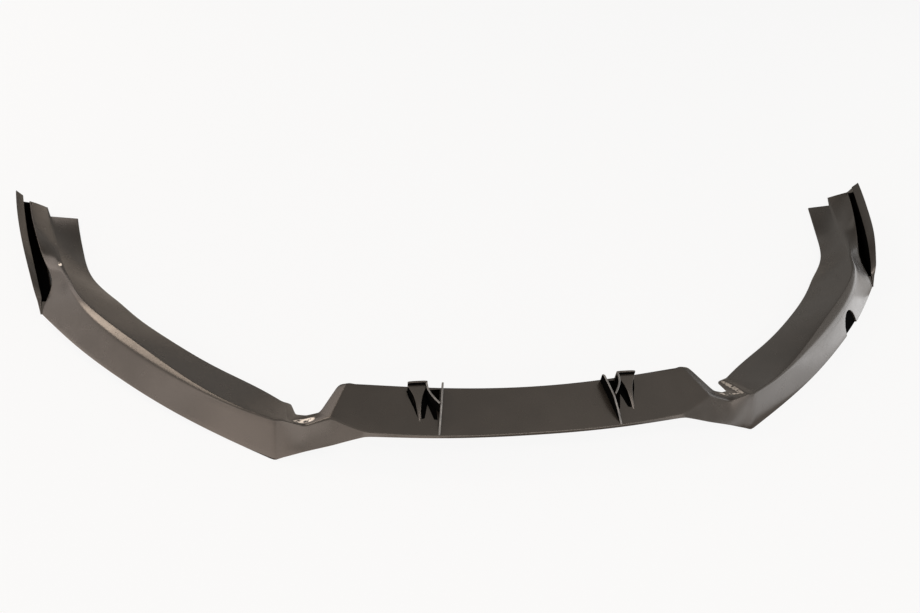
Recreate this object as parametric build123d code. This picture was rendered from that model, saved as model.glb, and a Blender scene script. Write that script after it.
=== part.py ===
"""Front splitter lip: one thin moulding for the lower edge of a car's front bumper.

+X runs across the car, +Y back along the arms, +Z up. The lip lies as it rests on a floor, on its
two front corners and the flanges at the ends of its arms. Millimetres.

The moulding is a bent strip: an outer skirt, a rounded ridge and an inner flange that the bumper
sits on. Its cross-section changes along the arm, so the arm is lofted through named sections.
In the middle the skirt dies out and the flange becomes a level plate with two pairs of brackets.
"""
import math
import os
from dataclasses import dataclass, replace

from build123d import *

WALL = 3.5              # thickness of the moulding
RIB = 3.0               # thickness of the bracket walls


@dataclass
class Section:
    """A cross-section in an upright plane: its ridge, the way it faces, and the strip's two edges."""
    ridge: tuple        # x, y, z of the ridge before it is rounded
    bearing: float      # plan angle of the outward direction, degrees from +X
    skirt: tuple        # run outward from the ridge to the skirt's edge, height of that edge
    flange: tuple       # run inward from the ridge to the flange's edge, height of that edge
    flat: float         # width of the flat that breaks the ridge


@dataclass
class Slot:
    """The slot beside the skirt's edge, and the fin outside it, in the plane of an arm's section."""
    lip: tuple          # x, z of the fin's edge beside the slot
    top: tuple          # x, z of the fin's top
    floor: float        # height of the slot's floor


# The level plate in the middle, bowed forward, from the middle to the fold at its end
PLATE_HALF = 250.0
PLATE_FRONT_Z = 58.0
PLATE_REAR_Z = 67.0
MID = Section((0, -13, PLATE_FRONT_Z), -90, (1, 53), (82.5, PLATE_REAR_Z), 3)
PLATE = Section((140, -8.5, PLATE_FRONT_Z), -90, (1, 53), (85.5, PLATE_REAR_Z), 3)

# From here x is measured from the fold. Round the front corner: fold, end of the plate, notch, end of
# the arm's flange, lowest point
FOLD = Section((0, 5, 60), -90, (4, 54), (86, PLATE_REAR_Z), 3)
PLATE_END = Section((24, 17, 62), -90, (15, 45), (78, 69), 4)
NOTCH_IN = Section((50, 31, 66), -90, (28.5, 35), (6, 65.5), 5)
NOTCH_MID = Section((90, 30, 50), -90, (25, 20), (8, 48.5), 5)
ARM_END = Section((122, 30, 62), -90, (23, 6), (75, 15), 5)
ARM_NECK = 12           # flange left beside the ridge where the notch meets the arm
CORNER = Section((134, 37, 61), -85, (31, 1), (70, 16), 5)

# The rolled rim of the notch, from the plate's rear corner round to the arm's flange
NOTCH_RIM = [(35, 96, 63), (67, 49, 57), (88, 54, 45), (104, 63, 37), (114, 105, 9)]
RIM_ROOT = 3            # how far the rim reaches into the walls it grows from

# Along the arm to its rear end, where the skirt turns up into a panel beside the slot
ARM_REACH = 645.0       # how far back the last section is
ARM = [
    CORNER,
    Section((180, 62, 59), -63, (27, 4), (68, 18), 5),
    Section((275, 129, 58), -51, (33, 10.5), (65, 22), 7),
    Section((365, 203, 66), -45, (37, 15.5), (64, 22), 14),
    Section((430, 265, 71), -42, (40, 18.5), (65, 17), 20),
    Section((474, 325, 67), -12, (57, 21), (68, 14), 14),
    Section((491, 360, 60), 0, (44, 31), (64, 12), 10),
    Section((521, 420, 47), 0, (30, 43), (44, 5), 6),
    Section((552, 494, 30), 0, (28, 51), (43, 4), 5),
    Section((582, 569, 14), 0, (23, 54), (48, 4.5), 5),
    Section((611, ARM_REACH, 8), 0, (16, 57), (55, 9), 5),
]
RAKE = [(49, 100), (49, 54), (8, 8), (-10, -12)]    # down the rear end: y short of the reach, z
FLANGE_SHORT = [(450, 43), (596, 40), (612, -5), (450, -5)]     # plan of the flange's end, short of the reach
FLANGE_CUT_Z = (-20, 30)

# The slot and fin at the arm's last sections, and the point where they taper out at the front
SLOTS = [
    Slot((545, 44), (549, 50), 20),
    Slot((564, 53), (571, 68), 18),
    Slot((592, 55), (600, 72.5), 15),
    Slot((618, 59), (626, 74.5), 12),
    Slot((640, 63), (648, 77), 8),
]
NOSE = (530, 326, 19)
NOSE_SCALE = 0.2
LIP_DEPTH = 4           # thickness of the fin's edge beside the slot
SEAT = 2.2              # depth below the panel's edge at which the slot's wall grows out of the panel

# A bite out of the skirt's lower edge, on the right side only
BITE_AT = (432, 216, 17)
BITE_BEARING = -44
BITE_RADIUS = 22
BITE_LENGTH = 40

# A pair of brackets on the plate, x from the middle again: plan points and top heights
BRACKET_X = (100, 220)  # the stretch of plate they stand on
BRACKET_Y = (-40, 120)  # a span of y well clear of them
CLEAR_Z = 120           # a level well clear of them
FIN_FRONT, FIN_REAR = (142, -7), (129, 73.5)    # the inner upright fin, front to rear
FIN_KNEE, FIN_KNEE_Z = 0.48, 82                 # share of its length where it stops climbing steeply
FIN_CREST, FIN_TOP_Z, FIN_END_Z = 0.95, 86, 83  # its highest point, and the rounded-off rear corner
BRANCH = [(138, 33), (147, 47), (153, 62), (154, 74)]   # curved wall from the fin to the tab
BRANCH_TOP_Z = 84.5
TAB = [(152.5, 75), (183, 77), (169, 19)]       # outer tab, a wedge that dies out forward
TAB_TOP_Z = 86
TAB_TAPER = 12          # how far the tab's hollow stops short of its front point


def offset(path, gap):
    """Points of an open path moved to its left by gap, with mitred corners."""
    normals = []
    for (r0, z0), (r1, z1) in zip(path, path[1:]):
        run = math.hypot(r1 - r0, z1 - z0)
        normals.append((-(z1 - z0) / run, (r1 - r0) / run))
    moved = []
    for i, (r, z) in enumerate(path):
        a, b = normals[max(i - 1, 0)], normals[min(i, len(normals) - 1)]
        reach = gap / (1 + a[0] * b[0] + a[1] * b[1])
        moved.append((r + reach * (a[0] + b[0]), z + reach * (a[1] + b[1])))
    return moved


def upper_path(s, flange=None):
    """Skirt edge, both sides of the broken ridge, flange edge, as outward run and height."""
    edge, ridge, inner = s.skirt, (0, s.ridge[2]), (-s.flange[0], s.flange[1])
    if flange is not None:
        inner = (-flange, ridge[1] + (inner[1] - ridge[1]) * flange / s.flange[0])

    def toward(p):
        length = math.hypot(p[0] - ridge[0], p[1] - ridge[1])
        step = min(0.55 * s.flat, 0.45 * length) / length
        return ridge[0] + step * (p[0] - ridge[0]), ridge[1] + step * (p[1] - ridge[1])

    return [edge, toward(edge), toward(inner), inner]


def in_space(s, r, z):
    """The point at outward run r and height z in the plane of a section."""
    a = math.radians(s.bearing)
    return Vector(s.ridge[0] + r * math.cos(a), s.ridge[1] + r * math.sin(a), z)


def flange_edge(s, flange=None):
    return in_space(s, *upper_path(s, flange)[-1])


def outline(s, flange=None):
    """The closed outline of the strip at a section, its flange cut to another width if given."""
    path = upper_path(s, flange)
    return [in_space(s, r, z) for r, z in path + offset(path, WALL)[::-1]]


def skin(outlines, smooth=True):
    """A solid through outlines with matching corners: a curve or a polyline joins each set of them."""
    if not smooth or len(outlines) == 2:
        return Solid.make_loft([Wire.make_polygon(o, close=True) for o in outlines], True)
    rails = [Spline(*corners) for corners in zip(*outlines)]
    walls = [Face.make_surface_from_curves(a, b) for a, b in zip(rails, rails[1:] + rails[:1])]
    ends = [Face(Wire.make_polygon(o, close=True)) for o in (outlines[0], outlines[-1])]
    return Solid(Shell(walls + ends))


def strip(sections, smooth=True):
    return skin([outline(s) for s in sections], smooth)


def flip(s):
    """The same section on the other side of the car."""
    x, y, z = s.ridge
    return replace(s, ridge=(-x, y, z), bearing=180 - s.bearing)


def slab(*points):
    """A flat piece of wall under a face given by its corners."""
    return Solid.extrude(Face(Wire.make_polygon(points, close=True)), Vector(0, 0, -WALL))


def middle():
    fold = replace(FOLD, ridge=(PLATE_HALF, *FOLD.ridge[1:]))
    return strip([flip(fold), flip(PLATE), MID, PLATE, fold])


def corner():
    plate_end = strip([FOLD, PLATE_END, NOTCH_IN], smooth=False)
    bridge = skin([outline(NOTCH_IN), outline(NOTCH_MID), outline(ARM_END, ARM_NECK)], smooth=False)
    return [plate_end, bridge, strip([ARM_END, CORNER])]


def notch_rim():
    edge = [flange_edge(PLATE_END), flange_edge(NOTCH_IN), flange_edge(NOTCH_MID),
            flange_edge(ARM_END, ARM_NECK), flange_edge(ARM_END)]
    rim = [Vector(*p) for p in NOTCH_RIM]
    rooted = [e + (e - r).normalized() * RIM_ROOT - Vector(0, 0, WALL / 4) for e, r in zip(edge, rim)]
    pieces = []
    for i in range(len(edge) - 1):
        pieces.append(slab(rooted[i], rooted[i + 1], rim[i]))
        pieces.append(slab(rooted[i + 1], rim[i + 1], rim[i]))
    return pieces


def slot_outline(section, slot):
    """The slot's two walls and floor, from inside the skirt's edge round to the top of the fin."""
    edge = in_space(section, *section.skirt)
    (lx, lz), (tx, tz), under = slot.lip, slot.top, slot.floor - WALL
    points = [(edge.X - SEAT / 4, edge.Z - SEAT), (edge.X + 1, slot.floor), (tx - WALL, slot.floor),
              (tx - WALL, lz - LIP_DEPTH), (lx, lz), (tx, tz), (tx, under), (edge.X - WALL + 1, under),
              (edge.X - SEAT, edge.Z - 2 * SEAT)]
    return [Vector(x, edge.Y, z) for x, z in points]


def fin():
    outlines = [slot_outline(a, b) for a, b in zip(ARM[-len(SLOTS):], SLOTS)]
    root = outlines[0][-1]
    nose = [Vector(*NOSE) + (p - root) * NOSE_SCALE for p in outlines[0]]
    return [skin([nose, outlines[0]]), skin(outlines)]


def plate_z(y, depth=0.0):
    """Height of the plate's upper face beside the brackets, or of a level below it."""
    run, front = PLATE.flange[0], PLATE.ridge[1]
    return PLATE_FRONT_Z + (PLATE_REAR_Z - PLATE_FRONT_Z) * (y - front) / run - depth


def over_plate(top, sink=0.0):
    """The space over the plate where the brackets stand, up to a level."""
    y0, y1 = BRACKET_Y
    return profile_prism([(y0, plate_z(y0, sink)), (y1, plate_z(y1, sink)), (y1, top), (y0, top)], *BRACKET_X)


def profile_prism(points, x0, x1):
    """A solid between two planes across the car, from a closed outline of y and z."""
    face = Face(Wire.make_polygon([Vector(x0, y, z) for y, z in points], close=True))
    return Solid.extrude(face, Vector(x1 - x0, 0, 0))


def plan_prism(points, z0, z1):
    face = Face(Wire.make_polygon([Vector(x, y, z0) for x, y in points], close=True))
    return Solid.extrude(face, Vector(0, 0, z1 - z0))


def rear_end():
    """The arm and its fin, cut off at the rear: the fin square, the panel raked, the flange short."""
    rake = [(ARM_REACH - y, z) for y, z in RAKE]
    back = 2 * ARM_REACH
    beyond = profile_prism(rake + [(back, rake[-1][1]), (back, rake[0][1])], 0, back)
    short = plan_prism([(x, ARM_REACH - y) for x, y in FLANGE_SHORT], *FLANGE_CUT_Z)
    return (Part() + strip(ARM) - short) + fin() - beyond


def brackets():
    (fx, fy), (rx, ry) = FIN_FRONT, FIN_REAR
    length = math.hypot(rx - fx, ry - fy)
    along = Vector((rx - fx) / length, (ry - fy) / length, 0)
    across = Vector(-along.Y, along.X, 0) * RIB
    start = Vector(fx, fy, 0) - across * 0.5

    def at(share, z):
        return start + along * (share * length) + Vector(0, 0, z)

    sink = WALL / 2
    fin_face = [at(0, plate_z(fy, sink)), at(0, plate_z(fy)), at(FIN_KNEE, FIN_KNEE_Z),
                at(FIN_CREST, FIN_TOP_Z), at(1, FIN_END_Z), at(1, plate_z(ry, sink))]
    inner_fin = Solid.extrude(Face(Wire.make_polygon(fin_face, close=True)), across)

    rooted = over_plate(TAB_TOP_Z, sink)
    return [inner_fin, curved_wall(BRANCH, RIB, BRANCH_TOP_Z) & rooted, tab(rooted)]


def curved_wall(points, thick, top):
    """An upright wall of even thickness along a smooth plan curve, from below the plate to its top."""
    path = Spline(*[Vector(x, y, 0) for x, y in points])
    sides = []
    for way in (0.5, -0.5):
        moved = []
        for share in (0, 0.35, 0.7, 1):
            tangent = path.tangent_at(share)
            moved.append(path.position_at(share) + Vector(-tangent.Y, tangent.X, 0) * way * thick)
        sides.append(moved)
    a, b = sides
    edges = [Spline(*a), Line(a[-1], b[-1]), Spline(*b[::-1]), Line(b[0], a[0])]
    return Solid.extrude(Face(Wire(edges)), Vector(0, 0, top))


def tab(rooted):
    """A hollow wedge, open to the rear, whose roof runs down to the plate at its front point."""
    (x0, y0), (x1, rear), (x2, front) = TAB
    fall = (TAB_TOP_Z - plate_z(front)) / (rear - front)
    behind = BRACKET_Y[1]

    def under_roof(points, drop):
        roof = [(y, TAB_TOP_Z - drop - fall * (rear - y)) for y in BRACKET_Y]
        below = profile_prism([(y, 0) for y in BRACKET_Y] + roof[::-1], *BRACKET_X)
        return plan_prism(points, 0, CLEAR_Z) & below

    inside = [(x0 + RIB, behind), (x1 - RIB, behind), (x1 - RIB, rear), (x2, front + TAB_TAPER),
              (x0 + RIB, y0)]
    hollow = under_roof(inside, RIB) & over_plate(CLEAR_Z)
    return (under_roof(TAB, 0) & rooted) - hollow


def bite():
    turned = Plane(origin=BITE_AT, z_dir=(math.cos(math.radians(BITE_BEARING)),
                                          math.sin(math.radians(BITE_BEARING)), 0))
    return turned * Cylinder(BITE_RADIUS, BITE_LENGTH)


if __name__ == "__main__":
    to_fold = Pos(PLATE_HALF, 0, 0)
    side = to_fold * ((Part() + corner() + notch_rim()) + rear_end())
    pair = Part() + brackets()
    half = side + pair
    lip = Part() + middle() + half + mirror(half, about=Plane.YZ) - to_fold * bite()
    box = lip.bounding_box()
    lip = Pos(0, -box.center().Y, -box.min.Z) * lip     # origin under the middle, floor at zero
    os.makedirs("parts", exist_ok=True)
    export_step(lip, "parts/splitter_lip.step")
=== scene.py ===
"""Front splitter lip: one black plastic moulding, lying on a pale floor as it rests."""
import math

import bmesh
import bpy
import numpy as np
from mathutils import Matrix, Vector


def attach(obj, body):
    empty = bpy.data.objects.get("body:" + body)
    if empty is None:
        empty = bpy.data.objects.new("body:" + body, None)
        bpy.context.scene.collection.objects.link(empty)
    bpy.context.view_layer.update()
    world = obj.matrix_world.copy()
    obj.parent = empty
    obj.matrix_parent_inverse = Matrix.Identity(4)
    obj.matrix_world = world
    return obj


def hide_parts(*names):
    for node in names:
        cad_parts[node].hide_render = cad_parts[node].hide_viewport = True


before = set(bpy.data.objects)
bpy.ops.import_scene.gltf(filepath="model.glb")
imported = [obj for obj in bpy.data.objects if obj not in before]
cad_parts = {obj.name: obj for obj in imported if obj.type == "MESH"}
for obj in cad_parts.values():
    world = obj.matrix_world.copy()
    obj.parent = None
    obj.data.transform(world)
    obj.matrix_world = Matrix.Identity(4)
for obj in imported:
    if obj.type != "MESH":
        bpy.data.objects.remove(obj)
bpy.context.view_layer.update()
scene = bpy.context.scene
scene.view_settings.view_transform = "Standard"

# Lengths are in millimetres up to the finished mesh, which is in metres
MM = 0.001
TO_REST = np.array((0, -312.931, 0.607))    # from the drawing's origin to the model's
MIRROR = (-1.0, 1.0, 1.0)                   # from the right side to the left
WALL = 3.5                                  # thickness of the moulding
RIB = 3.0                                   # thickness of the bracket walls

# Cross-sections on the right side: ridge, plan angle of the outward direction, run out from the ridge to
# the skirt's edge and its height, run in to the flange's edge and its height, width of the ridge's flat
MID = ((0, -13, 58), -90, (1, 53), (82.5, 67), 1.2)
PLATE = ((140, -8.5, 58), -90, (1, 53), (85.5, 67), 1.2)
FOLD = ((250, 5, 60), -90, (4, 54), (86, 67), 1.5)
PLATE_END = ((274, 17, 62), -90, (15, 45), (78, 69), 2.5)
NOTCH_IN = ((300, 31, 66), -90, (28.5, 35), (6, 65.5), 3)
NOTCH_MID = ((340, 28, 52.5), -90, (23, 20), (10, 50.5), 2)
ARM_NECK = ((365, 33.5, 59.6), -90, (27, 9), (8.5, 52.1), 2)
ARM_END = ((372, 35, 61.5), -90, (28, 6), (70, 15), 2.5)
CORNER = ((384, 37, 61), -85, (31, 1), (70, 16), 3.5)
ARM = [
    CORNER,
    ((430, 62, 59), -63, (27, 4), (68, 18), 5),
    ((525, 129, 58), -51, (33, 10.5), (65, 22), 11),
    ((615, 203, 66), -45, (37, 15.5), (64, 22), 21),
    ((680, 265, 71), -42, (40, 18.5), (65, 17), 18),
    ((721, 320, 68), -14.5, (56, 20), (66.8, 14.7), 9.5),
    ((731, 339, 64.5), -9, (51, 29.5), (65, 13), 8),
    ((741, 360, 60), 0, (34.5, 38.5), (64.5, 11.5), 6.5),
    ((771, 420, 47), 0, (26, 46), (44.5, 9), 6),
    ((802, 494, 30), 0, (27, 51), (43, 6), 5),
    ((832, 569, 16), 0, (25, 54), (48, 5), 5),
    ((861, 645, 10), 0, (16.5, 57), (55, 8), 5),
]
HEEL_AT, HEEL = 5, (786, 320, 19)           # sharp outer corner where the skirt's edge turns up
SLOT_AT, SLOT_EDGE = 7, (774, 355, 42.5)    # the panel's edge where the slot begins
# Edge of the rolled rim, from the plate's rear corner round the notch to the arm's flange
RIM = {1: (287, 97, 64), 2: (317, 49, 57), 3: (338, 54, 45), 4: (354, 63, 37), 5: (364, 105, 9)}
RIM_STEP = 3                                # depth of the plain edge where no rim is rolled
FLAT_SPREAD, FLAT_LIMIT = 0.55, 0.45        # the flat's share to each side, at most this much of the side

# Columns of the mesh from each section up to the next, and some of a section's corners by number
MIDDLE_COLUMNS = (23, 19)
CORNER_COLUMNS = (10, 16, 14, 12, 16, 5)
ARM_COLUMNS = (9, 18, 20, 92, 16, 6, 7, 14, 15, 15, 15)
SKIRT, RIDGE_OUT, RIDGE_IN, UNDER_RIDGE, UNDER_SKIRT = 0, 1, 2, 8, 9

ARC = (0, 0.25, 0.5, 0.75, 1)               # places of the points round a corner
ARC_LIMIT = 0.42                            # share of a side that its rounding may take
RIDGE_ARC = 0.39                            # share of the ridge's flat that its outer rounding takes

# Slot and fin at the last five sections: the fin's edge beside the slot, its top, the slot's floor
SLOTS = [((790, 43), (799.6, 48.5), 20), ((814, 54.5), (824, 68), 18), ((842, 57), (852, 72.5), 15),
         ((867, 60), (877, 74.5), 12), ((890, 63), (898, 77), 8)]
# Front end of the slot and fin: the solid nose, and the blunt end of the slot, each as a panel edge, the
# fin's edge, its top and the slot's floor
NOSE = ((779.5, 338, 32), (786.5, 33.5), (793, 34.5), 31)
SLOT_END = ((777.2, 344, 35.8), (786.5, 36.5), (795.5, 40), 21)
NOSE_TIP = 0.1                              # size of the nose's tip at the heel, against the nose
LIP_DEPTH, LIP_CLEAR = 4, 0.5               # depth of the fin's edge, and its least height over the floor
SEAT = 2.2                                  # how deep the slot's wall is set into the panel
OVERLAP = 1                                 # how far plain walls run into their neighbours
TAPER_COLUMNS, FIN_COLUMNS = 6, 60          # of the mesh: in each step of the front end, and behind it

# Where the arm stops: the panel and fin on a raked line, the flange square
RAKE_TOP = (596, 54)
RAKE_RUN = 41 / 46
FLANGE_STOP = 603
FIN_STOP = 605                              # the fin's edge beside the slot, a little behind its top
END_WALL = 3                                # the slot's end wall, ahead of the rake's top
STRIP_DRAWN, FIN_DRAWN = 40, 30             # columns at the end that are drawn back to the stops

BITE_AT = (676, 210)                        # the piece missing from the right skirt's lower edge
BITE_HALF, BITE_RISE = 26, 32               # half its length along the edge, and its height
BITE_LIMIT = 0.8                            # share of the skirt's height that it may take
# The sheet behind it, in painted shade: thickness, depth in the skirt, reach past its ends, foot as a share
# of the height
SHADE_SHEET_WALL, SHADE_SHEET_SINK, SHADE_SHEET_MARGIN, SHADE_SHEET_FOOT = 2.4, 0.6, 5, 0.02

# One pair of brackets on the plate
FIN_FRONT, FIN_REAR = (142, -7), (129, 73.5)
FIN_TOP = [(0, 58.3), (0.25, 72.5), (0.48, 82), (0.72, 84.6), (0.95, 86), (1, 83)]
BRANCH = [(138, 33), (147, 47), (153, 62), (154, 74)]
BRANCH_TOP = 84.5
TAB_REAR, TAB_TIP = (167.8, 77), (169, 19)  # the outer tab: flared at the rear, a thin rib forward
TAB_WIDTH = [(0, 30.5), (0.1, 29), (0.24, 20), (0.36, 14), (0.52, 9), (0.78, 5.5), (1, 3)]
TAB_TOP, TAB_FALL = 79.5, 1.8               # its upper face at the rear, and the power by which that falls
TAB_HOLLOW = (-0.1, 0.3)                    # shares of its length from rear to tip that are hollow
BROW_TOP, BROW_DROOP = 86, 18               # the flap across its rear, lower at both ends
LEAST = 1                                   # height and width that a bracket keeps where it thins out
WALL_CUT, TAB_CUT, FOOT_CUT = 1.2, 0.9, 0.2     # roundings of their tops and feet
POCKETS = [[(155.5, 74), (153.5, 62), (148.5, 48), (142, 36), (141.5, 19), (147, 20), (154.5, 47), (161, 23),
            (166, 22), (165, 45), (159.5, 60), (156.5, 74)],
           [(182, 74), (177, 60), (172.5, 45), (171, 28), (172, 27), (176.5, 44), (182, 60), (185, 74)],
           [(132, 73), (138.2, 37), (145.5, 48), (151.5, 62), (152, 73)]]
POCKET_DEPTH, POCKET_CLEAR = 2.2, 2         # below the plate, and how far the cutter stands above it

SAME_PLACE = 2e-6                           # points closer than this, in metres, are one
SHARP_FROM = math.radians(32)               # faces that meet at more than this have a sharp edge
# The second finish is painted shade, the third a painted highlight
GLOSS, PAINTED_SHADE, PAINTED_HIGHLIGHT = range(3)             # the finishes, in the order of the mesh's materials

# Painted highlights on rims and edges of the lacquer, in metres on the finished part: centre, reach along
# each axis, turn in degrees, and how pale they are
PAINTED_GLINTS = [((-0.337, -0.274, 0.050), (0.021, 0.006, 0.012), (0, 0, 0), 1.0),
          ((-0.772, 0.104, 0.046), (0.009, 0.003, 0.012), (0, 0, -63), 1.0),
          ((0.346, -0.266, 0.048), (0.024, 0.003, 0.010), (0, 0, 0), 0.6),
          ((0.367, -0.241, 0.036), (0.004, 0.044, 0.006), (-33, 0, 0), 0.45)]

# The photograph's camera, solved from the two mirrored halves: pixels, sensor in millimetres, metres
FOCAL_PX, WIDTH_PX, SENSOR = 726.64, 920, 36
CAMERA_AT = (-0.2694, -0.9503, 0.9470)
FORWARD, UP = (0.1522, 0.7039, -0.6938), (0.034, 0.6979, 0.7154)

BOUNCE_TURN = math.radians(36)              # the wide bounce lamps lie along the skirts
# Lamps: name, place, aim, size, power in watts, colour, and a turn about the upright
LAMPS = [
    ("left_bounce", (-1.1, -0.57, 0.004), (-1.1, -0.57, 1), (1.7, 1.4), 19, "#fff2ea", -BOUNCE_TURN),
    ("right_bounce", (1.13, -0.61, 0.004), (1.13, -0.61, 1), (1.7, 1.3), 10, "#fafcff", BOUNCE_TURN),
    ("right_near_bounce", (0.84, -0.125, 0.005), (0.84, -0.125, 1), (0.2, 0.25), 0.25, "#fafcff"),
    ("right_front_bounce", (0.75, -0.62, 0.005), (0.75, -0.62, 1), (0.5, 0.4), 1.2, "#fafcff"),
    ("front_softbox", (0.3, -2.3, 0.75), (0.2, -0.3, 0.05), (3.4, 1.5), 46, "#fff6f0"),
    ("left_front_softbox", (-1.9, -1.4, 0.7), (-0.3, -0.2, 0.05), (1.6, 1.4), 11, "#fff2ea"),
    ("left_softbox", (-2.2, 0.35, 0.8), (-0.5, 0.1, 0.1), (3.1, 1.5), 16, "#fff0e8"),
    ("left_rear_softbox", (-1.48, 1.73, 1.12), (-0.3, -0.24, 0.06), (0.8, 0.9), 5, "#fff2ea"),
    ("right_softbox", (2.2, 0.1, 0.45), (0.5, 0, 0.1), (2.2, 0.9), 16, "#fafcff"),
    ("rear_softbox", (0.85, 2.4, 0.5), (0.4, -0.1, 0.05), (2.4, 0.6), 1.6, "#fffaf3"),
    ("rear_high_softbox", (0.3, 2.6, 1.4), (0.8, 0.2, 0.05), (1.2, 0.7), 2, "#fffaf3"),
    ("ridge_lamp", (-1.65, 1.0, 1.9), (-0.6, -0.1, 0.06), (0.8, 0.6), 20, "#ffeedd"),
    ("overhead", (0.5, -1.04, 2.3), (0.1, -0.3, 0), (1.3, 0.6), 20, "#fff6f0"),
]
FLOOR_SIZE = 12


def srgb(code):
    """A colour written as six hex digits, as the shader takes it."""
    parts = [int(code[i:i + 2], 16) / 255 for i in (1, 3, 5)]
    return (*[c / 12.92 if c <= 0.04045 else ((c + 0.055) / 1.055) ** 2.4 for c in parts], 1)


def add(tree, kind, inputs=None, **settings):
    """A node with its settings; each input is a value or another node's output."""
    node = tree.nodes.new(kind)
    for key, value in settings.items():
        setattr(node, key, value)
    for key, value in (inputs or {}).items():
        if isinstance(value, bpy.types.NodeSocket):
            tree.links.new(value, node.inputs[key])
        else:
            node.inputs[key].default_value = value
    return node


def blank_material(name):
    """A new material and its node tree, with no nodes in it."""
    material = bpy.data.materials.new(name)
    material.use_nodes = True
    material.node_tree.nodes.clear()
    return material, material.node_tree


def spline(points, spans):
    """A natural cubic through points, read at span positions: 2.5 is half way along the third span."""
    points = np.asarray(points, float)
    step = np.maximum(np.linalg.norm(np.diff(points, axis=0), axis=1), 1e-6)
    n = len(points)
    grid, right = np.eye(n), np.zeros((n, points.shape[1]))
    for i in range(1, n - 1):
        grid[i, i - 1:i + 2] = step[i - 1], 2 * (step[i - 1] + step[i]), step[i]
        right[i] = 6 * ((points[i + 1] - points[i]) / step[i] - (points[i] - points[i - 1]) / step[i - 1])
    bend = np.linalg.solve(grid, right)
    i = np.clip(np.floor(spans).astype(int), 0, n - 2)
    u = (np.asarray(spans) - i)[:, None]
    h = step[i][:, None]
    return (points[i] * (1 - u) + points[i + 1] * u
            + h * h / 6 * (((1 - u) ** 3 - (1 - u)) * bend[i] + (u ** 3 - u) * bend[i + 1]))


def skinned(sections, spans):
    """Columns on splines through the like corners of sections."""
    return np.stack([spline(sections[:, k], spans) for k in range(sections.shape[1])], 1)


def ruled(sections, counts):
    """Columns on straight lines from each section up to the next, without the last section."""
    return np.concatenate([np.linspace(a, b, n, endpoint=False)
                           for a, b, n in zip(sections, sections[1:], counts)])


def positions(counts, first=0):
    """Span positions from section first on, with a count of columns for each span."""
    return np.concatenate([first + i + np.arange(n) / n for i, n in enumerate(counts)])


def offset(path, gap):
    """Points of an open path moved to its left by gap, with mitred corners."""
    path = np.asarray(path, float)
    run = np.diff(path, axis=0)
    normal = np.stack([-run[:, 1], run[:, 0]], 1) / np.linalg.norm(run, axis=1)[:, None]
    before, after = np.vstack([normal[:1], normal]), np.vstack([normal, normal[-1:]])
    return path + gap * (before + after) / (1 + (before * after).sum(1))[:, None]


def strip_corners(section, rim=None):
    """Ten corners of the strip: skirt edge, both sides of the ridge, flange, rim, and back underneath."""
    (x, y, z), bearing, skirt, flange, flat = section
    ridge = np.array((0.0, z))
    ends = np.array((skirt, (-flange[0], flange[1])), float)
    reach = np.linalg.norm(ends - ridge, axis=1)
    spread = np.minimum(FLAT_SPREAD * flat, FLAT_LIMIT * reach)
    broken = ridge + (ends - ridge) * (spread / reach)[:, None]
    path = np.array((ends[0], broken[0], broken[1], ends[1]))
    way = np.array((math.cos(math.radians(bearing)), math.sin(math.radians(bearing))))
    top, under = (np.column_stack([np.array((x, y)) + side[:, :1] * way, side[:, 1]])
                  for side in (path, offset(path, WALL)))
    if rim is None:
        back = (top[2] - top[3]) / np.linalg.norm(top[2] - top[3]) * RIM_STEP
        rims = top[3].copy(), under[3].copy()
        top[3] += back
        under[3] += back
    else:
        rims = np.array(rim, float), np.array(rim) + under[3] - top[3]
    return np.array((*top, *rims, *under[::-1]))


def round_corners(columns, cuts, splits):
    """Rings of points round each column's corners: every corner is cut back and rounded, every side split."""
    count = columns.shape[1]
    arcs = []
    for k in range(count):
        corner = columns[:, k]
        ways = []
        for other in (columns[:, k - 1], columns[:, (k + 1) % count]):
            side = other - corner
            length = np.linalg.norm(side, axis=1)[:, None]
            ways.append(side / np.maximum(length, 1e-9) * np.minimum(cuts[k], ARC_LIMIT * length))
        arcs.append([corner + (1 - t) ** 2 * ways[0] + t ** 2 * ways[1] for t in ARC])
    rings = []
    for k, arc in enumerate(arcs):
        rings += arc
        gap = arcs[(k + 1) % count][0] - arc[-1]
        rings += [arc[-1] + gap * (i / (splits[k] + 1)) for i in range(1, splits[k] + 1)]
    return np.stack(rings, 1)


def soften(columns, first, last, passes):
    """Eases the creases across columns first to last."""
    for _ in range(passes):
        columns[first:last] = (columns[first - 1:last - 1] / 4 + columns[first:last] / 2
                               + columns[first + 1:last + 1] / 4)
    return columns


def tube(rings, name, caps="ngon", inside=(), shade_from=0, highlighted=()):
    """A closed mesh over rings of points, some of its sides in painted shade and some pale with a painted
    highlight.
    """
    count, ring = rings.shape[:2]
    points = ((rings.reshape(-1, 3) + TO_REST) * MM).tolist()
    faces = []
    for c in range(count - 1):
        for k in range(ring):
            a, b = c * ring + k, c * ring + (k + 1) % ring
            faces.append((a, b, b + ring, a + ring))
    sides = len(faces)
    for start in (0, (count - 1) * ring):
        if caps == "paired":
            faces += [(start + k, start + k + 1, start + ring - 2 - k, start + ring - 1 - k)
                      for k in range(ring // 2 - 1)]
        else:
            faces.append([start + k for k in range(ring)])
    mesh = bpy.data.meshes.new(name)
    mesh.from_pydata(points, [], faces)
    for finish in (gloss, shade_black, edge_highlight):
        mesh.materials.append(finish)
    for face in mesh.polygons:
        column, side = divmod(face.index, ring)
        if face.index >= sides:
            face.material_index = PAINTED_SHADE if len(inside) == ring else GLOSS
        elif side in highlighted:
            face.material_index = PAINTED_HIGHLIGHT
        else:
            face.material_index = PAINTED_SHADE if side in inside and column >= shade_from else GLOSS
    outward(mesh)
    piece = bpy.data.objects.new(name, mesh)
    scene.collection.objects.link(piece)
    return piece


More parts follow.
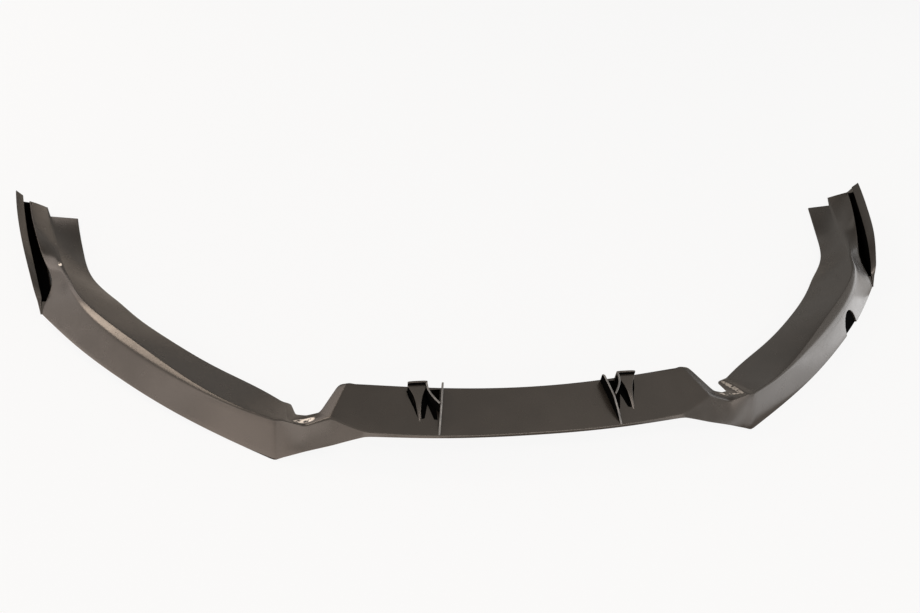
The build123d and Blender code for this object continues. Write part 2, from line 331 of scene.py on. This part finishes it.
def outward(mesh, joined=False):
    """Merges doubles, clears the slivers that joins leave, and turns every face outwards."""
    body = bmesh.new()
    body.from_mesh(mesh)
    bmesh.ops.remove_doubles(body, verts=body.verts, dist=SAME_PLACE)
    if joined:
        bmesh.ops.triangulate(body, faces=[f for f in body.faces if len(f.verts) > 4])
        bmesh.ops.dissolve_degenerate(body, dist=SAME_PLACE, edges=body.edges)
    bmesh.ops.recalc_face_normals(body, faces=body.faces)
    body.to_mesh(mesh)
    body.free()


def settle(piece):
    """Applies a piece's modifiers to its mesh."""
    graph = bpy.context.evaluated_depsgraph_get()
    mesh = bpy.data.meshes.new_from_object(piece.evaluated_get(graph))
    piece.modifiers.clear()
    old, piece.data = piece.data, mesh
    bpy.data.meshes.remove(old)


def combine(piece, other, operation):
    """Joins another piece to this one, or cuts it away, and drops the other."""
    work = piece.modifiers.new(operation.lower(), "BOOLEAN")
    work.operation, work.solver, work.object, work.material_mode = operation, "EXACT", other, "TRANSFER"
    bpy.context.view_layer.update()
    settle(piece)
    bpy.data.objects.remove(other)
    return piece


def rear_stop(points):
    """How far back the panel or fin may reach at each point's height."""
    return RAKE_TOP[0] + np.maximum(RAKE_TOP[1] - points[..., 2], 0) * RAKE_RUN


def end_at(rings, first, stops):
    """Draws the rings from first on back along their rails, so that each rail ends at its own stop."""
    last = len(rings) - 1
    out = rings.copy()
    for k in range(rings.shape[1]):
        rail = rings[:, k]
        over = rail[first:, 1] - (rear_stop(rail[first:]) if stops[k] is None else stops[k])
        past = int(np.argmax(over > 0)) if (over > 0).any() else last - first
        share = past - 1 + over[past - 1] / (over[past - 1] - over[past]) if over[past] > 0 else past
        place = np.linspace(first, first + share, last - first + 1)
        low = np.minimum(place.astype(int), last - 1)
        part = (place - low)[:, None]
        out[first:, k] = rail[low] * (1 - part) + rail[low + 1] * part
    return out


def half_strip():
    """Columns of the strip's corners from the middle to the right arm's end, and the arm's first column."""
    fold, plate = strip_corners(FOLD), strip_corners(PLATE)
    sections = np.stack([fold * MIRROR, plate * MIRROR, strip_corners(MID), plate, fold])
    middle = skinned(sections, positions(MIDDLE_COLUMNS, 2))

    notch = (FOLD, PLATE_END, NOTCH_IN, NOTCH_MID, ARM_NECK, ARM_END, CORNER)
    corner = ruled([strip_corners(s, RIM.get(i)) for i, s in enumerate(notch)], CORNER_COLUMNS)

    sections = np.stack([strip_corners(s) for s in ARM])
    for at, outer in ((HEEL_AT, HEEL), (SLOT_AT, SLOT_EDGE)):
        sections[at, UNDER_SKIRT] += outer - sections[at, SKIRT]
        sections[at, SKIRT] = outer
    spans = np.append(positions(ARM_COLUMNS), len(ARM_COLUMNS))
    arm = skinned(sections, spans)
    front, rear = spans[spans < HEEL_AT], spans[spans >= HEEL_AT]
    for k in (SKIRT, UNDER_SKIRT):      # the skirt's edge breaks at the heel
        arm[:, k] = np.concatenate([spline(sections[:HEEL_AT + 1, k], front),
                                    spline(sections[HEEL_AT:, k], rear - HEEL_AT)])

    half = np.concatenate([middle, corner, arm])
    notch_at, arm_at = len(middle), len(middle) + len(corner)
    # The folds round the notch are eased well, the front corner only a little
    half = soften(half, notch_at - 3, arm_at - 6, 5)
    return soften(half, arm_at - 7, arm_at + 4, 1), arm_at


def bitten(half, rise):
    """The strip's corners with the skirt's lower edge raised to the outline of the bite."""
    out = half.copy()
    for foot, head in ((SKIRT, RIDGE_OUT), (UNDER_SKIRT, UNDER_RIDGE)):
        lift = rise / (half[:, head, 2] - half[:, foot, 2])
        out[:, foot] += (half[:, head] - half[:, foot]) * np.clip(lift, 0, BITE_LIMIT)[:, None]
    return out


def bite_shade_sheet(near):
    """A thin sheet in painted shade that closes the bite from behind, over the columns near it."""
    inward = near[:, UNDER_SKIRT] - near[:, SKIRT]
    inward = inward / np.linalg.norm(inward, axis=1)[:, None]
    up = near[:, UNDER_RIDGE] - near[:, UNDER_SKIRT]
    low, high = (near[:, UNDER_SKIRT] + up * share - inward * SHADE_SHEET_SINK for share in (SHADE_SHEET_FOOT, BITE_LIMIT))
    deep = inward * SHADE_SHEET_WALL
    return tube(np.stack([low, high, high + deep, low + deep], 1), "bite_shade_sheet", inside=range(4))


def moulded_strip():
    """The bent strip from the end of one arm to the other, and the sheet of painted shade behind its bite."""
    half, arm_at = half_strip()
    along = np.linalg.norm(half[:, SKIRT, :2] - np.array(BITE_AT), axis=1)
    on_arm = np.arange(len(half)) > arm_at
    rise = BITE_RISE * np.sqrt(np.maximum(1 - (along / BITE_HALF) ** 2, 0)) * on_arm

    splits = (5, 0, 6, 0, 0, 0, 6, 0, 5, 0)
    skirt_points = 2 * len(ARC) + splits[SKIRT]
    sides = []
    for columns in (half, bitten(half, rise)):
        flat = np.linalg.norm(columns[:, RIDGE_IN] - columns[:, RIDGE_OUT], axis=1)[:, None]
        cuts = (1.2, RIDGE_ARC * flat, 0.8, 2.5, 1.3, 1.3, 2.5, 2, 2, 1.2)
        rings = round_corners(columns, cuts, splits)
        count = rings.shape[1]
        stops = [None if min(k, count - 1 - k) < skirt_points else FLANGE_STOP for k in range(count)]
        sides.append(end_at(rings, len(rings) - STRIP_DRAWN, stops))
    left = sides[0][:0:-1] * MIRROR
    strip = tube(np.concatenate([left, sides[1]]), "splitter_lip_moulding", "paired")
    return strip, bite_shade_sheet(half[(along < BITE_HALF + SHADE_SHEET_MARGIN) & on_arm])


def slot_corners(panel_edge, slot):
    """The slot's walls and floor beside a panel edge, from inside that edge round to the fin's top."""
    ex, y, ez = panel_edge
    (lx, lz), (tx, tz), floor = slot
    under = min(floor, SLOTS[0][2]) - WALL
    depth = min(LIP_DEPTH, lz - floor - LIP_CLEAR)
    points = [(ex - SEAT / 4, ez - SEAT), (ex + OVERLAP, floor), (tx - WALL, floor), (tx - WALL, lz - depth),
              (lx, lz), (tx, tz), (tx, under), (ex - WALL + OVERLAP, under), (ex - SEAT, ez - 2 * SEAT)]
    return np.array([(px, y, pz) for px, pz in points], float)


def slot_and_fin():
    """The slot beside the right panel, closed at both ends, with its inner faces in painted shade, and the
    upright fin outside it.
    """
    edges = [(ridge[0] + skirt[0], ridge[1], skirt[1]) for ridge, _, skirt, _, _ in ARM[SLOT_AT + 1:]]
    sections = np.stack([slot_corners(a, b) for a, b in zip([SLOT_EDGE, *edges], SLOTS)])
    nose, end = (slot_corners(front[0], front[1:]) for front in (NOSE, SLOT_END))
    tip = np.array(HEEL) + (nose - nose[-1]) * NOSE_TIP
    taper = ruled((tip, nose, end, sections[0]), [TAPER_COLUMNS] * 3)
    body = skinned(sections, np.linspace(0, len(sections) - 1, FIN_COLUMNS))
    # The front end runs into the rest without a crease
    columns = soften(np.concatenate([taper, body]), len(taper) - 4, len(taper) + 4, 3)

    splits = (4, 1, 4, 0, 0, 6, 1, 4, 0)
    rings = round_corners(columns, (0.6, 2.5, 2.5, 1.2, 1.0, 1.0, 1.5, 1.5, 0.6), splits)
    slot_points = 3 * len(ARC) + sum(splits[:3])
    ease = np.linspace(RAKE_TOP[0], FIN_STOP, len(ARC) + 2)[1:-1].tolist()
    stops = [None] * slot_points + ease + [FIN_STOP] * len(ARC) + ease[::-1]
    stops += [None] * (rings.shape[1] - len(stops))
    # The slot's walls and floor, from the panel's edge to the fin's edge, are in painted shade
    in_slot = range(3, slot_points + 1)     # from the panel's edge down, across and up to the fin's edge
    fin = tube(end_at(rings, len(rings) - FIN_DRAWN, stops), "slot_and_fin", inside=in_slot,
               shade_from=TAPER_COLUMNS)

    # The slot's end wall, all in painted shade
    last = int(np.argmax(columns[:, 0, 1] > RAKE_TOP[0] - END_WALL))
    wall = columns[last - 1:last + 1, :4].copy()
    wall[:, :2, 0] -= OVERLAP
    wall[:, 2:, 0] += OVERLAP
    wall[:, 1:3, 2] -= OVERLAP
    return combine(fin, tube(wall, "slot_end", inside=range(4)), "UNION")


def plate_z(y):
    """Height of the plate's upper face between the brackets."""
    (_, front, low), _, _, (run, high), _ = PLATE
    return low + (high - low) * (np.asarray(y) - front) / run


def upright_rings(line, aside, foot, top, cut, splits):
    """Rings of a wall along a plan line, from foot to top, and the numbers of the sides over its top."""
    top = np.maximum(top, foot + LEAST)
    columns = np.stack([np.column_stack([line + side, level]) for side, level in
                        ((aside, foot), (aside, top), (-aside, top), (-aside, foot))], 1)
    first = len(ARC) + splits[0]
    over = range(first, first + 2 * len(ARC) + splits[1] - 1)
    return round_corners(columns, (FOOT_CUT, cut, cut, FOOT_CUT), splits), over


def upright_wall(path, tops, name, highlighted=True):
    """A thin upright wall with a rounded top, along plan points, standing on the plate; its sides are in
    painted shade, and its top has a painted highlight unless that is turned off.
    """
    way = np.gradient(path, axis=0)
    way /= np.linalg.norm(way, axis=1)[:, None]
    aside = np.stack([-way[:, 1], way[:, 0]], 1) * RIB / 2
    foot = plate_z(path[:, 1]) - WALL / 2
    rings, over = upright_rings(path, aside, foot, tops, WALL_CUT, (5, 0, 5, 0))
    return tube(rings, name, inside=[k for k in range(rings.shape[1]) if k not in over],
                highlighted=over if highlighted else ())


def flared_tab(share, name, hollow=False):
    """The outer tab, or the hollow in its rear, at shares of its length from rear to tip; the tab's sides and
    all of the hollow are in painted shade.
    """
    narrow, drop, sink = (2 * RIB, RIB, 0) if hollow else (0, 0, WALL / 2)
    rear, tip = np.array(TAB_REAR), np.array(TAB_TIP)
    line = rear + (tip - rear) * share[:, None]
    spans = np.interp(share, [place for place, _ in TAB_WIDTH], np.arange(len(TAB_WIDTH)))
    aside = np.zeros_like(line)
    aside[:, 0] = np.maximum(spline(TAB_WIDTH, spans)[:, 1] - narrow, LEAST) / 2
    level = plate_z(line[:, 1])
    top = level + (TAB_TOP - plate_z(rear[1])) * (1 - np.maximum(share, 0) ** TAB_FALL) - drop
    rings, over = upright_rings(line, aside, level - sink, top, TAB_CUT, (5, 3, 5, 3))
    return tube(rings, name, inside=[k for k in range(rings.shape[1]) if hollow or k not in over])


def brackets():
    """The inner fin, the curved wall that branches from it, and the hollow outer tab with its flap."""
    share = np.linspace(0, 1, 40)
    run = np.array(FIN_FRONT) + (np.array(FIN_REAR) - np.array(FIN_FRONT)) * share[:, None]
    inner = upright_wall(run, np.interp(share, *zip(*FIN_TOP)), "bracket_fin")
    curve = spline(BRANCH, np.linspace(0, len(BRANCH) - 1, 30))
    branch = upright_wall(curve, np.full(len(curve), BRANCH_TOP), "bracket_branch")

    tab = flared_tab(share, "bracket_tab")
    combine(tab, flared_tab(np.linspace(*TAB_HOLLOW, 16), "tab_hollow", hollow=True), "DIFFERENCE")
    across = np.linspace(-0.5, 0.5, 24)
    brow = np.column_stack([TAB_REAR[0] + across * TAB_WIDTH[0][1],
                            np.full(len(across), TAB_REAR[1] - RIB / 2)])
    flap = upright_wall(brow, BROW_TOP - BROW_DROOP * across ** 4, "bracket_flap", highlighted=False)
    for wall in (branch, tab, flap):
        combine(inner, wall, "UNION")
    return inner


def pockets():
    """The sunk pockets that the walls of one pair of brackets look down into, their walls and floors in
    painted shade.
    """
    sunk = []
    for outline in POCKETS:
        plan = np.array(outline, float)
        level = plate_z(plan[:, 1])
        rings = np.stack([np.column_stack([plan, level + step]) for step in (-POCKET_DEPTH, POCKET_CLEAR)])
        sunk.append(tube(rings, "pocket", inside=range(len(plan))))
    for other in sunk[1:]:
        combine(sunk[0], other, "UNION")
    return sunk[0]


def both_sides(piece):
    """Repeats a right-hand piece on the left, mirrored about the middle of the car."""
    tree = bpy.data.node_groups.new("both_sides", "GeometryNodeTree")
    tree.interface.new_socket("Geometry", in_out="INPUT", socket_type="NodeSocketGeometry")
    tree.interface.new_socket("Mirror", in_out="INPUT", socket_type="NodeSocketVector")
    tree.interface.new_socket("Painted_Shade", in_out="INPUT", socket_type="NodeSocketMaterial")
    tree.interface.new_socket("Geometry", in_out="OUTPUT", socket_type="NodeSocketGeometry")
    given = add(tree, "NodeGroupInput").outputs
    other = add(tree, "GeometryNodeTransform", {"Geometry": given["Geometry"], "Scale": given["Mirror"]})
    both = add(tree, "GeometryNodeJoinGeometry")
    for half in (given["Geometry"], other.outputs["Geometry"]):
        tree.links.new(half, both.inputs["Geometry"])
    real = add(tree, "GeometryNodeRealizeInstances", {"Geometry": both.outputs["Geometry"]})
    # Faces in painted shade keep that material on both halves
    shade_faces = add(tree, "GeometryNodeMaterialSelection", {"Material": given["Painted_Shade"]})
    painted = add(tree, "GeometryNodeSetMaterial", {"Geometry": real.outputs["Geometry"],
                                                    "Selection": shade_faces.outputs["Selection"],
                                                    "Material": given["Painted_Shade"]})
    add(tree, "NodeGroupOutput", {"Geometry": painted.outputs["Geometry"]})
    work = piece.modifiers.new("both_sides", "NODES")
    work.node_group = tree
    values = {"Mirror": MIRROR, "Painted_Shade": shade_black}
    for item in tree.interface.items_tree:
        if item.name in values:
            work[item.identifier] = values[item.name]
    bpy.context.view_layer.update()
    settle(piece)
    outward(piece.data)
    return piece


def gloss_black():
    """Moulded black ABS under a thin lacquer: nearly all that shows is the grey sheen of its surroundings."""
    material, tree = blank_material("gloss_black_abs")
    place = add(tree, "ShaderNodeTexCoord").outputs["Object"]
    # A film of dust in clouds about 110 mm wide, and wiping marks about 22 mm long in the gloss
    film = add(tree, "ShaderNodeTexNoise", {"Vector": place, "Scale": 9, "Detail": 5, "Roughness": 0.6})
    dust = add(tree, "ShaderNodeMapRange", {"Value": film.outputs["Fac"], "From Min": 0.42, "From Max": 0.75,
                                            "To Min": 0.0, "To Max": 0.5})
    colour = add(tree, "ShaderNodeMix", {"Factor": dust.outputs["Result"], "A": srgb("#1e1b18"),
                                         "B": srgb("#2f2b27")}, data_type="RGBA")
    swirl = add(tree, "ShaderNodeTexNoise", {"Vector": place, "Scale": 45, "Detail": 3})
    rough = add(tree, "ShaderNodeMapRange", {"Value": swirl.outputs["Fac"], "From Min": 0.3, "From Max": 0.7,
                                             "To Min": 0.22, "To Max": 0.28})
    # Painted highlights: pale patches broken up by noise about 6 mm across, inside a few places on rims and
    # edges
    noise = add(tree, "ShaderNodeTexNoise", {"Vector": place, "Scale": 160, "Detail": 3})
    glint_breakup = add(tree, "ShaderNodeMapRange", {"Value": noise.outputs["Fac"], "From Min": 0.42,
                                              "From Max": 0.49})
    glint_share = 0.0
    for centre, reach, turn, pale in PAINTED_GLINTS:
        local = add(tree, "ShaderNodeMapping", {"Vector": place, "Location": centre, "Scale": reach,
                                                "Rotation": [math.radians(a) for a in turn]},
                    vector_type="TEXTURE")
        apart = add(tree, "ShaderNodeVectorMath", {0: local.outputs[0]}, operation="LENGTH")
        near = add(tree, "ShaderNodeMapRange", {"Value": apart.outputs["Value"], "From Min": 0.7,
                                                "From Max": 1.0, "To Min": pale, "To Max": 0.0})
        worst = add(tree, "ShaderNodeMath", {0: near.outputs[0], 1: glint_share}, operation="MAXIMUM")
        glint_share = worst.outputs[0]
    glint_share = add(tree, "ShaderNodeMath", {0: glint_share, 1: glint_breakup.outputs[0]}, operation="MULTIPLY").outputs[0]
    colour = add(tree, "ShaderNodeMix", {"Factor": glint_share, "A": colour.outputs["Result"],
                                         "B": srgb("#e6dfd6")}, data_type="RGBA")
    rough = add(tree, "ShaderNodeMath", {0: glint_share, 1: 0.3, 2: rough.outputs[0]}, operation="MULTIPLY_ADD")
    # Orange peel of the lacquer, ripples about 4 mm long
    peel = add(tree, "ShaderNodeTexNoise", {"Vector": place, "Scale": 250, "Detail": 1})
    bump = add(tree, "ShaderNodeBump", {"Height": peel.outputs["Fac"], "Strength": 0.08, "Distance": 0.0003})
    shader = add(tree, "ShaderNodeBsdfPrincipled", {
        "Base Color": colour.outputs["Result"], "Roughness": rough.outputs[0], "IOR": 1.5,
        "Specular Tint": srgb("#fff7f0"), "Normal": bump.outputs["Normal"]})
    add(tree, "ShaderNodeOutputMaterial", {"Surface": shader.outputs["BSDF"]})
    return material


def painted_shade_black():
    """Painted shade where shade falls: on the sheet behind the bite, in the slots and pockets and on the
    sides of the bracket walls; near-black with a faint cell pattern about 0.8 mm wide, and no gloss."""
    material, tree = blank_material("black_painted_shade")
    place = add(tree, "ShaderNodeTexCoord").outputs["Object"]
    cells = add(tree, "ShaderNodeTexVoronoi", {"Vector": place, "Scale": 1200})
    colour = add(tree, "ShaderNodeMix", {"Factor": cells.outputs["Distance"], "A": srgb("#030303"),
                                         "B": srgb("#0b0b0b")}, data_type="RGBA")
    shader = add(tree, "ShaderNodeBsdfPrincipled", {
        "Base Color": colour.outputs["Result"], "Roughness": 1.0, "Specular IOR Level": 0.0})
    add(tree, "ShaderNodeOutputMaterial", {"Surface": shader.outputs["BSDF"]})
    return material


def painted_edge_highlight():
    """Painted highlight: black ABS painted pale grey along the top edges of the bracket walls, in patches
    about 15 mm long.
    """
    material, tree = blank_material("black_abs_painted_highlight")
    place = add(tree, "ShaderNodeTexCoord").outputs["Object"]
    highlight_patches = add(tree, "ShaderNodeTexNoise", {"Vector": place, "Scale": 65, "Detail": 2})
    colour = add(tree, "ShaderNodeMix", {"Factor": highlight_patches.outputs["Fac"], "A": srgb("#353535"),
                                         "B": srgb("#72716f")}, data_type="RGBA")
    shader = add(tree, "ShaderNodeBsdfPrincipled", {
        "Base Color": colour.outputs["Result"], "Roughness": 0.35})
    add(tree, "ShaderNodeOutputMaterial", {"Surface": shader.outputs["BSDF"]})
    return material


def pale_floor():
    """A plain pale studio floor: nearly white to the eye, dimmer in reflections, with its shadow kept."""
    material, tree = blank_material("pale_floor")
    path = add(tree, "ShaderNodeLightPath").outputs
    seen = add(tree, "ShaderNodeMath", {0: path["Is Camera Ray"], 1: path["Is Transmission Ray"]},
               operation="MAXIMUM")
    shiny = add(tree, "ShaderNodeMath", {0: path["Is Glossy Ray"], 1: 0.1}, operation="MULTIPLY")
    share = add(tree, "ShaderNodeMath", {0: seen.outputs[0], 1: 0.9, 2: shiny.outputs[0]},
                operation="MULTIPLY_ADD")
    matt = add(tree, "ShaderNodeBsdfDiffuse", {"Color": srgb("#b4aea6")})
    glow = add(tree, "ShaderNodeEmission", {"Color": srgb("#ffffff"), "Strength": 1.0})
    mix = add(tree, "ShaderNodeMixShader", {0: share.outputs[0], 1: matt.outputs[0], 2: glow.outputs[0]})
    add(tree, "ShaderNodeOutputMaterial", {"Surface": mix.outputs[0]})
    return material


def studio_world():
    """A white room to the eye; reflections see it fade to the rear and towards the floor."""
    world = bpy.data.worlds.new("studio")
    scene.world = world
    world.use_nodes = True
    tree = world.node_tree
    tree.nodes.clear()
    path = add(tree, "ShaderNodeLightPath").outputs
    aim = add(tree, "ShaderNodeSeparateXYZ", {0: add(tree, "ShaderNodeTexCoord").outputs["Generated"]})
    front = add(tree, "ShaderNodeMapRange", {"Value": aim.outputs["Y"], "From Min": -0.3, "From Max": 0.5,
                                             "To Min": 1.0, "To Max": 0.35})
    above = add(tree, "ShaderNodeMapRange", {"Value": aim.outputs["Z"], "From Min": 0.0, "From Max": 0.35,
                                             "To Min": 0.35, "To Max": 1.15})
    behind = add(tree, "ShaderNodeMapRange", {"Value": aim.outputs["Y"], "From Min": 0.42, "From Max": 0.72,
                                              "To Min": 1.0, "To Max": 0.3})
    above = add(tree, "ShaderNodeMath", {0: above.outputs[0], 1: behind.outputs[0]}, operation="MULTIPLY")
    shiny = add(tree, "ShaderNodeMath", {0: front.outputs[0], 1: above.outputs[0]}, operation="MAXIMUM")
    shiny = add(tree, "ShaderNodeMath", {0: path["Is Glossy Ray"], 1: shiny.outputs[0]}, operation="MULTIPLY")
    seen = add(tree, "ShaderNodeMath", {0: path["Is Camera Ray"], 1: path["Is Transmission Ray"]},
               operation="MAXIMUM")
    seen = add(tree, "ShaderNodeMath", {0: seen.outputs[0], 1: shiny.outputs[0]}, operation="ADD")
    level = add(tree, "ShaderNodeMath", {0: path["Is Diffuse Ray"], 1: 0.3, 2: seen.outputs[0]},
                operation="MULTIPLY_ADD")
    tint = add(tree, "ShaderNodeMix", {"Factor": path["Is Camera Ray"], "A": srgb("#fffaf3"),
                                       "B": srgb("#ffffff")}, data_type="RGBA")
    sky = add(tree, "ShaderNodeBackground", {"Color": tint.outputs["Result"], "Strength": level.outputs[0]})
    add(tree, "ShaderNodeOutputWorld", {"Surface": sky.outputs[0]})


def studio():
    """The floor, the room and the lamps; those on the floor stand for the light that it throws back."""
    bpy.ops.mesh.primitive_plane_add(size=FLOOR_SIZE)
    floor = bpy.context.object
    floor.name = "floor"
    floor.data.materials.append(pale_floor())
    studio_world()
    for row in LAMPS:
        lamp(*row)


def lamp(name, at, to, size, power, colour, roll=0.0):
    """A rectangular lamp that shines from one place to another and isn't seen itself."""
    light = bpy.data.lights.new(name, "AREA")
    light.shape, light.size, light.size_y = "RECTANGLE", *size
    light.energy, light.color = power, srgb(colour)[:3]
    holder = bpy.data.objects.new(name, light)
    holder.location = at
    holder.visible_camera = False
    aim = (Vector(to) - Vector(at)).to_track_quat("-Z", "Y")
    holder.rotation_euler = (Matrix.Rotation(roll, 3, "Z") @ aim.to_matrix()).to_euler()
    scene.collection.objects.link(holder)


def photo_camera():
    """The photograph's view: from above and in front, a little to the left, rolled by a few degrees."""
    lens = bpy.data.cameras.new("camera")
    lens.sensor_width, lens.lens = SENSOR, SENSOR * FOCAL_PX / WIDTH_PX
    forward, up = Vector(FORWARD), Vector(UP)
    right = forward.cross(up).normalized()
    up = right.cross(forward).normalized()
    turn = Matrix((right, up, -forward.normalized())).transposed().to_4x4()
    holder = bpy.data.objects.new("camera", lens)
    holder.matrix_world = Matrix.Translation(CAMERA_AT) @ turn
    scene.collection.objects.link(holder)
    scene.camera = holder


# The glossy black, the near-black painted shade, and the pale painted highlight on the bracket tops
gloss, shade_black, edge_highlight = gloss_black(), painted_shade_black(), painted_edge_highlight()
lip, bite_shade = moulded_strip()
combine(lip, both_sides(pockets()), "DIFFERENCE")
for moulded_on in (slot_and_fin(), brackets()):
    combine(lip, both_sides(moulded_on), "UNION")
combine(lip, bite_shade, "UNION")
outward(lip.data, joined=True)
for face in lip.data.polygons:
    face.use_smooth = True
lip.data.set_sharp_from_angle(angle=SHARP_FROM)
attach(lip, "root")
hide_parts("splitter_lip")

studio()
photo_camera()
